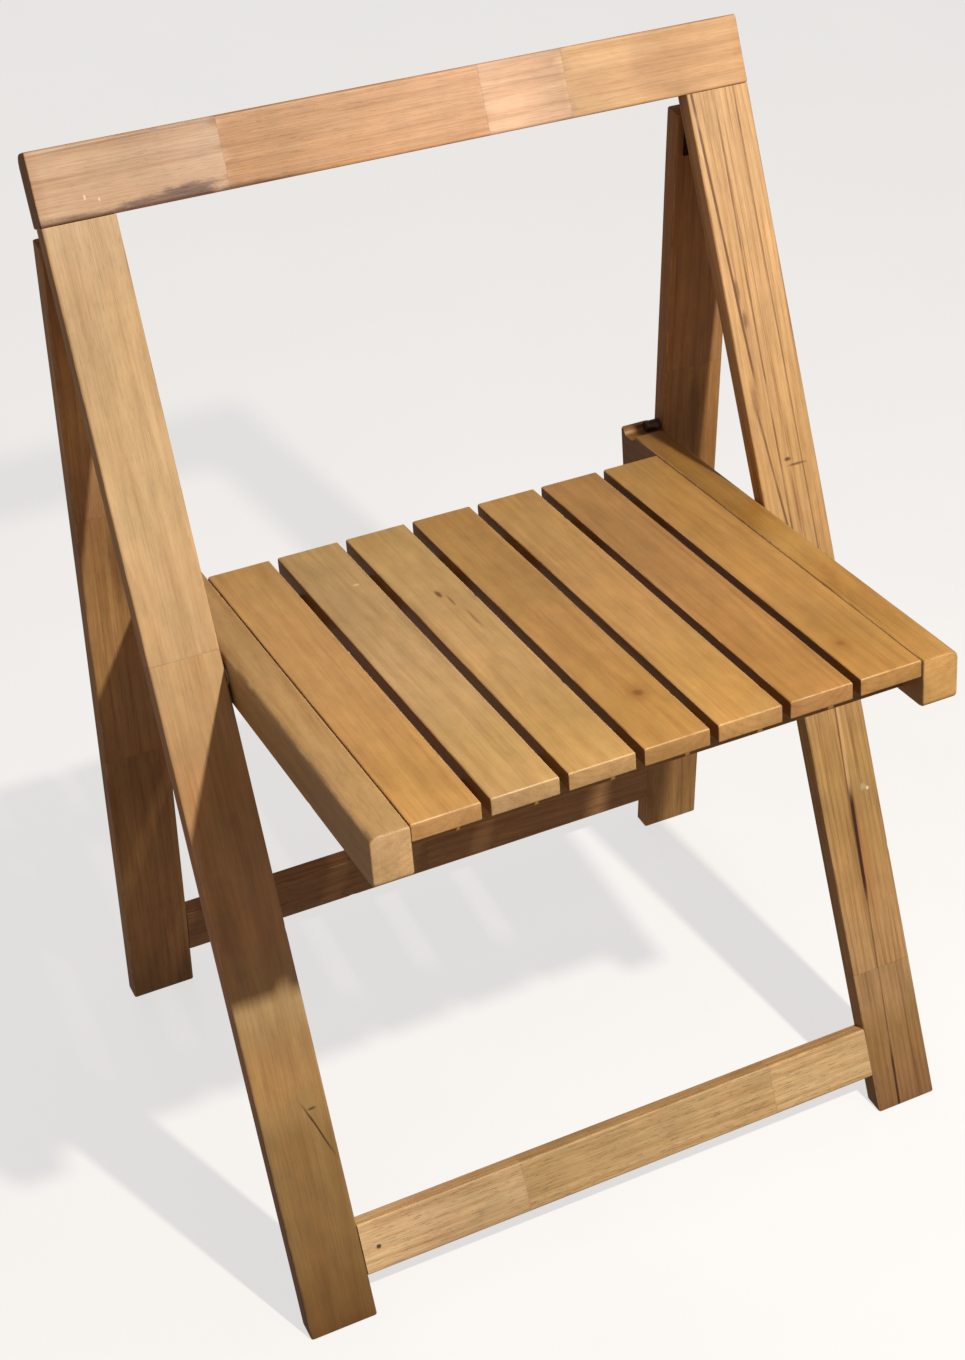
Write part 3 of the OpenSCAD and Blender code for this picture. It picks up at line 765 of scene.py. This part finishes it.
# Tone along each rear leg, which also paints light and shade: lighter where the lamp reaches past
# the stiles, darker at the edges of their shadows
REAR_LEGS = (
    ("left", 5, 250,
     ((0, (0.56, 0.52, 0.44)), (60, (1.05, 1.0, 0.95)), (142, (1.15, 1.15, 1.15)),
      (222, (0.80, 0.74, 0.62)), (302, (1.0, 1.05, 1.1)), (382, (1.05, 1.12, 1.2)),
      (462, (0.80, 0.82, 0.90)), (540, (1.25, 1.35, 1.5)), (680, (0.95, 0.93, 0.90)))),
    ("right", 6, 180,
     ((0, (1.15, 1.2, 1.15)), (45, (0.95, 0.95, 0.9)), (110, (0.86, 0.84, 0.80)),
      (300, grey(1.0)), (385, (0.85, 0.80, 0.66)), (460, grey(1.0)),
      (680, (0.9, 0.88, 0.85)))),
)
for label, seed, joint, drift_and_shade in REAR_LEGS:
    make(f"rear_leg_{label}", UPRIGHT_REAR, (STILE_FOOT, EXPOSED), "frame_wood", "rear_frame",
         seed,
         dict(staves=((0, lit(BACK_LIGHT, 150, 112, 70)), (joint, lit(BACK_LIGHT, 158, 116, 70)),
                      (470, lit(BACK_LIGHT, 160, 118, 76))),
              drift_and_shade=drift_and_shade, ring=(30, 40, 6.0, 0.4), fibre=0.55, worn=0.6, streak=0.3,
              marks=((2, 430, 5, 34, tone(84, 48, 26), 0.4, 0.6, 1.6),)),
         foot=-math.tan(LEG_LEAN))
make("rear_stretcher", LEVEL_REAR, (BUTT, BUTT), "frame_wood", "rear_frame", 7,
     dict(staves=((0, lit(BACK_LIGHT, 140, 102, 66)), (210, lit(BACK_LIGHT, 152, 112, 72))),
          ring=(16, 34, 5.5, 0.45), fibre=0.62, pores=0.32, blotch=0.5))

# ---- Seat ----

CATCH_FROM_END = 9.4 * MM    # catch pin's place, forward of a seat rail's rear end
NOTCH_REACH = 14 * MM
NOTCH_DEPTH = 5 * MM
NOTCH_R = 4.4 * MM
NOTCH_ANGLES = (20, 40, 60, 75)
WALL = 0.02 * MM             # length over which the notch's ends drop
PIVOT_BORE = 4.5 * MM
HEAD_BORE = 5.5 * MM
HEAD_DEPTH = 4.3 * MM
BORE_SPARE = 1 * MM          # how far a bore's cutter starts and ends outside the wood
OUTER_TOP = 5 * MM
RAIL_FRONT = (1.2 * MM, 1.2 * MM, 1.5 * MM, 5 * MM)
RAIL_REAR = (1.2 * MM, 1.2 * MM, 0.8 * MM, 1.5 * MM)


def notch_of(node):
    """The open notch in a seat rail's top, around the catch pin."""
    length = size_of(node, SEAT_LONG).z
    pin = length - CATCH_FROM_END
    first, last = pin - NOTCH_REACH, pin + NOTCH_R

    def depth(place):
        if first < place <= pin:
            return NOTCH_DEPTH
        if pin < place < last:
            return NOTCH_DEPTH - NOTCH_R + math.sqrt(NOTCH_R**2 - (place - pin) ** 2)
        return 0.0

    places = [first, first + WALL, pin, last - WALL, last]
    places += [pin + NOTCH_R * math.sin(math.radians(a)) for a in NOTCH_ANGLES]
    return {"depth": depth, "places": places}


LEFT_RAIL = dict(
    staves=((0, lit(SEAT_LIGHT, 190, 147, 98)),),
    drift_and_shade=((0, grey(1.05)), (120, grey(0.97)), (421, (0.92, 0.88, 0.84))))
# The right rail darkens towards its rear: painted shadow of the right stile over the rail's rear
# end
RIGHT_RAIL = dict(
    staves=((0, lit(SEAT_LIGHT, 188, 135, 74)),),
    drift_and_shade=((0, (1.02, 1.06, 1.10)), (60, (0.90, 0.90, 0.78)), (120, (0.84, 0.82, 0.72)),
           (180, (0.95, 1.03, 1.05)), (240, (0.72, 0.68, 0.48)), (300, (0.74, 0.74, 0.66)),
           (421, (0.44, 0.38, 0.32))))
for side, label, seed, look in ((LEFT, "left", 8, LEFT_RAIL), (RIGHT, "right", 9, RIGHT_RAIL)):
    node = f"seat_rail_{label}"
    low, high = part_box(node)
    bolt_low, bolt_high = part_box(f"pivot_bolt_{label}")
    pivot = (bolt_low + bolt_high) / 2
    if side == LEFT:
        inner, outer, tops = high.x, low.x, (OUTER_TOP, ARRIS)
    else:
        inner, outer, tops = low.x, high.x, (ARRIS, OUTER_TOP)
    start = inner - side * BORE_SPARE
    bores = ((pivot, start, outer + side * BORE_SPARE, PIVOT_BORE),
             (pivot, start, inner + side * HEAD_DEPTH, HEAD_BORE))
    make(node, SEAT_LONG, (RAIL_FRONT, RAIL_REAR), "seat_wood", "seat", seed,
         dict(look, ring=(20, 50, 5.0, 0.25), fibre=0.32, gloss=0.2, rough=0.42,
              # cap lightens the rails' ends, whose fronts face the lamp: painted light. sides
              # darkens the narrow faces: painted shade
              side_shade=(0.88, 0.88, 1.0), cap=(1.2, 1.25, 1.45)),
         radii=(*tops, ARRIS, ARRIS), notch=notch_of(node), bores=bores)

# Each slat's tone, the strength of its growth rings, and its marks
SLAT_LOOKS = (
    ((200, 149, 92), 0.245, ()),
    ((195, 154, 105), 0.28, ((10, 292, 2.4, 1.2, tone(236, 214, 176), 0.6, 0.4, 0.5),)),
    ((198, 154, 100), 0.28, ((1.0, 249, 1.8, 5.2, tone(74, 48, 28), 0.75, 0.5, 1.2),
                            (5.0, 236, 1.0, 7.0, tone(96, 62, 36), 0.6, 0.5, 1.4),
                            (8.5, 205, 0.9, 12.0, tone(110, 74, 42), 0.5, 0.5, 1.5))),
    ((188, 138, 80), 0.315, ((5.0, 61.5, 3.2, 3.6, tone(96, 58, 28), 0.85, 0.6, 0.8),
                             (4.0, 62, 8.0, 11, tone(150, 100, 50), 0.5, 0.6, 0.8))),
    ((193, 144, 87), 0.245, ()),
    ((181, 130, 77), 0.294, ()),
    ((186, 135, 76), 0.266, ((-10.0, 46.3, 2.6, 3.0, tone(112, 70, 32), 0.7, 0.6, 0.8),
                             (-10.0, 46.3, 6.5, 9, tone(156, 104, 50), 0.5, 0.6, 0.8))),
)
SLAT_DRIFT = ((0, (1.02, 0.98, 0.90)), (30, (0.97, 0.94, 0.83)), (70, (0.93, 0.92, 0.84)),
              (120, (0.96, 0.95, 0.98)), (180, (0.98, 0.98, 1.05)), (240, (0.93, 0.94, 1.0)),
              (300, (0.97, 0.99, 1.02)), (350, (0.91, 0.92, 0.88)))
SLAT_EDGES = (1.2 * MM, 1.2 * MM, 0.4 * MM, 0.4 * MM)
SLAT_FRONT = (0.9 * MM, 0.9 * MM, 1.4 * MM, 1.0 * MM)
SLAT_REAR = (0.9 * MM, 0.9 * MM, 1.2 * MM, 0.8 * MM)
for index, (shade, strength, marks) in enumerate(SLAT_LOOKS, 1):
    # Each one is sawn from another place beside the pith, so that no two figures agree
    pith = (18 * math.sin(index * 2.2), 34 + 7 * math.cos(index * 1.7))
    spacing = 4.6 + 0.5 * (index % 3)
    make(f"slat_{index}", SEAT_LONG, (SLAT_FRONT, SLAT_REAR), "seat_wood", "seat", 10 + index,
         dict(staves=((0, lit(SEAT_LIGHT, *shade)),), drift_and_shade=SLAT_DRIFT,
              ring=(*pith, spacing, strength), fibre=0.28, pores=0.1, gloss=0.22,
              # sides darkens the slats' narrow faces, which face the gaps between them: painted
              # shade. cap is the end grain's tone, made bluer on the lamp-lit front ends: partly
              # painted light
              rough=0.40, marks=marks, side_shade=(0.5, 0.38, 0.28), cap=(0.92, 0.94, 1.10),
              worn=0.8, grimy=0.1),
         radii=SLAT_EDGES)
for node, seed in (("front_batten", 18), ("rear_batten", 19)):
    make(node, SEAT_CROSS, (BUTT, BUTT), "batten_wood", "seat", seed,
         dict(staves=((0, lit(SEAT_LIGHT, 176, 134, 82)), (190, lit(SEAT_LIGHT, 168, 126, 76))),
              ring=(10, 26, 5.0, 0.4), fibre=0.55, pores=0.2, gloss=0.08, rough=0.5))

# ---- Screws with a cross recess ----

RIM = 0.3 * MM         # how far below a CAD screw's top its rim is looked for


def solids(node):
    """Corner points of each separate solid of a CAD node."""
    mesh = bmesh.new()
    mesh.from_mesh(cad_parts[node].data)
    bmesh.ops.remove_doubles(mesh, verts=mesh.verts, dist=SAME_POINT)
    left, groups = set(mesh.verts), []
    for first in mesh.verts:
        if first not in left:
            continue
        stack, group = [first], []
        left.discard(first)
        while stack:
            vert = stack.pop()
            group.append(vert.co.copy())
            for edge in vert.link_edges:
                other = edge.other_vert(vert)
                if other in left:
                    left.discard(other)
                    stack.append(other)
        groups.append(group)
    mesh.free()
    return groups


# A screw's sizes in mm. Its outlines are (radius, height), with the height from the head's
# underside, from the top of one turn of the thread, and from the tip
HEAD_H = 1.2
SHANK_R = 1.6
CORE_R = 1.28
PITCH = 1.2
SHANK = 1.0            # plain length under the head
TIP = 3.5              # length of the tip, which has no thread
SCREW_SIDES = 28
RECESS = (3.4, 0.75, 1.6)
RECESS_MIDDLE = 1.35
RECESS_TAPER = 0.45
SCREW_HEAD = (
    (0, HEAD_H), (0.9, 1.19), (1.7, 1.1), (2.3, 0.92), (2.75, 0.6), (2.97, 0.28), (3.0, 0.06),
    (2.95, 0.0), (SHANK_R, 0.0),
)
SCREW_TURN = ((SHANK_R, 0.0), (CORE_R, -0.25), (CORE_R, -0.6), (SHANK_R, -0.85))
SCREW_TIP = ((1.3, 2.5), (0.6, 0.8), (0, 0.0))


def lathe(mesh, profile, steps):
    """Turns a profile of (radius, height) in mm around Z, closed where the radius is zero."""
    rings = []
    for radius, height in profile:
        count = steps if radius else 1
        angles = [2 * math.pi * k / steps for k in range(count)]
        rings.append([mesh.verts.new((radius * MM * math.cos(a), radius * MM * math.sin(a),
                                      height * MM)) for a in angles])
    for a, b in zip(rings, rings[1:]):
        for k in range(steps):
            m = (k + 1) % steps
            if len(a) == 1:
                mesh.faces.new((a[0], b[k], b[m]))
            elif len(b) == 1:
                mesh.faces.new((a[m], a[k], b[0]))
            else:
                mesh.faces.new((a[k], b[k], b[m], a[m]))
    bmesh.ops.recalc_face_normals(mesh, faces=mesh.faces)


def screw_mesh(length):
    """One screw, its head's underside at the origin and its shank along -Z."""
    outline = list(SCREW_HEAD)
    top = -SHANK
    while top > TIP - length:
        outline += [(radius, top + height) for radius, height in SCREW_TURN]
        top -= PITCH
    outline += [(radius, height - length) for radius, height in SCREW_TIP]
    mesh = bmesh.new()
    lathe(mesh, outline, SCREW_SIDES)
    screw = built("screw", mesh)

    mesh = bmesh.new()
    for turn in (0, math.pi / 2):
        bar = bmesh.ops.create_cube(mesh, size=1.0)["verts"]
        for vert in bar:
            narrow = RECESS_TAPER if vert.co.z < 0 else 1.0
            vert.co = Vector((vert.co.x * RECESS[0] * narrow, vert.co.y * RECESS[1],
                              vert.co.z * RECESS[2] + RECESS_MIDDLE)) * MM
        bmesh.ops.rotate(mesh, verts=bar, matrix=Matrix.Rotation(turn, 3, "Z"))
    data = carved(screw, built("recess", mesh), overlapping=True)
    bpy.data.objects.remove(screw)
    return data


def screws(node, drive, length, body, material):
    """Screws of a length in mm in place of a CAD node, driven along the drive direction."""
    one = screw_mesh(length)
    rand = random.Random(node)
    mesh = bmesh.new()
    turn = (-drive).to_track_quat("Z", "Y")
    for points in solids(node):
        tops = [p.dot(drive) for p in points]
        start = min(tops)
        rim = [p for p, t in zip(points, tops) if t < start + RIM]
        middle = sum(rim, Vector()) / len(rim)
        origin = middle + drive * (start + HEAD_H * MM - middle.dot(drive))
        place = Matrix.Translation(origin) @ turn.to_matrix().to_4x4() @ \
            Matrix.Rotation(rand.uniform(0, math.pi), 4, "Z")
        part = one.copy()
        part.transform(place)
        mesh.from_mesh(part)
        bpy.data.meshes.remove(part)
    bpy.data.meshes.remove(one)
    piece = built("detail_" + node, mesh)
    piece.data.shade_smooth()
    piece.data.set_sharp_from_angle(angle=SCREW_CREASE)
    piece.data.materials.append(material)
    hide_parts(node)
    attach(piece, body)


black = metal("look_black_steel", tone(46, 42, 40), tone(104, 84, 66), 0.35, 0.85, 0.46, 1)
zinc = metal("look_zinc_steel", tone(196, 197, 200), tone(140, 132, 118), 0.45, 1.0, 0.34, 2)
# Darker steel for the catch pin, partly painted shade: it sits in the right stile's shadow
dark_pin = metal("look_dark_pin", tone(110, 106, 102), tone(84, 66, 50), 0.5, 1.0, 0.42, 4)
brass = metal("look_brass", tone(204, 168, 92), tone(128, 96, 50), 0.5, 1.0, 0.36, 3)
HINGE_SCREW = 12
BATTEN_SCREW = 27
screws("stile_hinge_screws", -FRAME_BACK, HINGE_SCREW, "front_frame", black)
screws("leg_hinge_screws", LEG_BACK, HINGE_SCREW, "rear_frame", black)
for node in ("front_batten_screws", "rear_batten_screws"):
    screws(node, SEAT_UP, BATTEN_SCREW, "seat", zinc)

DOWEL_LENGTH = 50
dowel = wood("look_dowel", DOWEL_LENGTH, None, 30, ((0, tone(205, 170, 120)),), rough=0.6,
             gloss=0.0)
CAD_LOOKS = {
    "hinge_leaf": black, "hinge_pin": zinc, "pivot_bolt": zinc, "pivot_washers": zinc,
    "catch_pin": dark_pin, "pivot_insert": brass, "pivot_bush": brass, "dowels": dowel,
}
for name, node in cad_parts.items():
    if node.hide_render:
        continue
    for key, material in CAD_LOOKS.items():
        if key in name:
            for material_slot in node.material_slots:
                material_slot.material = material

# ---- Floor, backdrop, light and camera ----

STAGE_R = 16.0
STAGE_SIDES = 96
FLOOR_DROP = 0.1 * MM        # keeps the floor clear of the feet
FLOOR_GLOW = 0.67            # lifts the floor to a pale tone that shadows still show on
FLOOR_MOTTLE = 0.004         # per mm
FLOOR_TINTS = ((0.3, grey(0.29)), (0.7, grey(0.31)))
FAR_FLOOR = (0.748, 0.733, 0.719)
FILL = (0.26, 0.205, 0.165)
UNSEEN = ("diffuse", "glossy", "transmission", "volume_scatter", "shadow")

mesh = bmesh.new()
bmesh.ops.create_circle(mesh, cap_ends=True, segments=STAGE_SIDES, radius=STAGE_R)
bmesh.ops.translate(mesh, verts=mesh.verts, vec=(0, 0, -FLOOR_DROP))
floor = built("floor", mesh)
paper = Look("look_floor")
mottle = paper.noise(paper.place(), grey(FLOOR_MOTTLE), 4, 0.6)
paper.set(Base_Color=paper.ramp(mottle, FLOOR_TINTS), Roughness=0.9, Specular_IOR_Level=0.0,
          Emission_Color=(1, 1, 1, 1), Emission_Strength=FLOOR_GLOW)
clear = paper.add("ShaderNodeBsdfTransparent")
both = paper.add("ShaderNodeMixShader")
paper.put(both.inputs[0], paper.add("ShaderNodeNewGeometry").outputs["Backfacing"])
paper.put(both.inputs[1], paper.surface.outputs[0])
paper.put(both.inputs[2], clear.outputs[0])
paper.put(paper.output.inputs[0], both.outputs[0])
floor.data.materials.append(paper.material)
floor.visible_diffuse = False
floor.visible_glossy = False

mesh = bmesh.new()
bmesh.ops.create_icosphere(mesh, subdivisions=4, radius=STAGE_R)
backdrop = built("backdrop", mesh)
glow = Look("look_backdrop")
shine = glow.add("ShaderNodeEmission")
glow.put(shine.inputs[0], FAR_FLOOR)
glow.put(glow.output.inputs[0], shine.outputs[0])
backdrop.data.materials.append(glow.material)
for rays in UNSEEN:
    setattr(backdrop, "visible_" + rays, False)
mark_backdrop(floor, backdrop)

scene = bpy.context.scene
scene.view_settings.view_transform = "Standard"
world = bpy.data.worlds.new("fill")
world.use_nodes = True
world.node_tree.nodes["Background"].inputs[0].default_value = (*FILL, 1)
scene.world = world


def lamp(name, place, aim, size, watts, colour, glossy):
    """A round softbox at a place, aimed at a point."""
    light = bpy.data.lights.new(name, "AREA")
    light.shape, light.size, light.energy, light.color = "DISK", size, watts, colour
    made = bpy.data.objects.new(name, light)
    made.location = place
    made.rotation_mode = "QUATERNION"
    made.rotation_quaternion = (Vector(place) - Vector(aim)).to_track_quat("Z", "Y")
    made.visible_glossy = glossy
    scene.collection.objects.link(made)


lamp("key", place=(0.42, -1.09, 1.85), aim=(0, 0, 0.3), size=0.07, watts=38,
     colour=(1.0, 0.94, 0.84), glossy=True)
lamp("behind", place=(1.0, 9.2, 1.45), aim=(0, 0, 0.35), size=3.2, watts=208,
     colour=(1.0, 0.97, 0.93), glossy=False)

VIEW_AZIMUTH = math.radians(-27.76)
VIEW_ELEVATION = math.radians(34.94)
VIEW_ROLL = math.radians(0.47)
VIEW_DISTANCE = 1.829
VIEW_AIM = Vector((0.0966, 0.0746, -0.0097))    # from the middle of the CAD box
FOCAL_LENGTH = 65.09
SENSOR = 36
SHIFT = (-0.0870, -0.0621)
back = Vector((
    math.sin(VIEW_AZIMUTH) * math.cos(VIEW_ELEVATION),
    -math.cos(VIEW_AZIMUTH) * math.cos(VIEW_ELEVATION),
    math.sin(VIEW_ELEVATION),
))
lens = bpy.data.cameras.new("camera")
lens.lens = FOCAL_LENGTH
lens.sensor_width = SENSOR
lens.shift_x, lens.shift_y = SHIFT
camera = bpy.data.objects.new("camera", lens)
camera.rotation_mode = "QUATERNION"
camera.rotation_quaternion = (-back).to_track_quat("-Z", "Y") @ \
    Matrix.Rotation(VIEW_ROLL, 3, "Z").to_quaternion()
camera.location = (cad_low + cad_high) / 2 + VIEW_AIM + back * VIEW_DISTANCE
scene.collection.objects.link(camera)
scene.camera = camera

low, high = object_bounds()
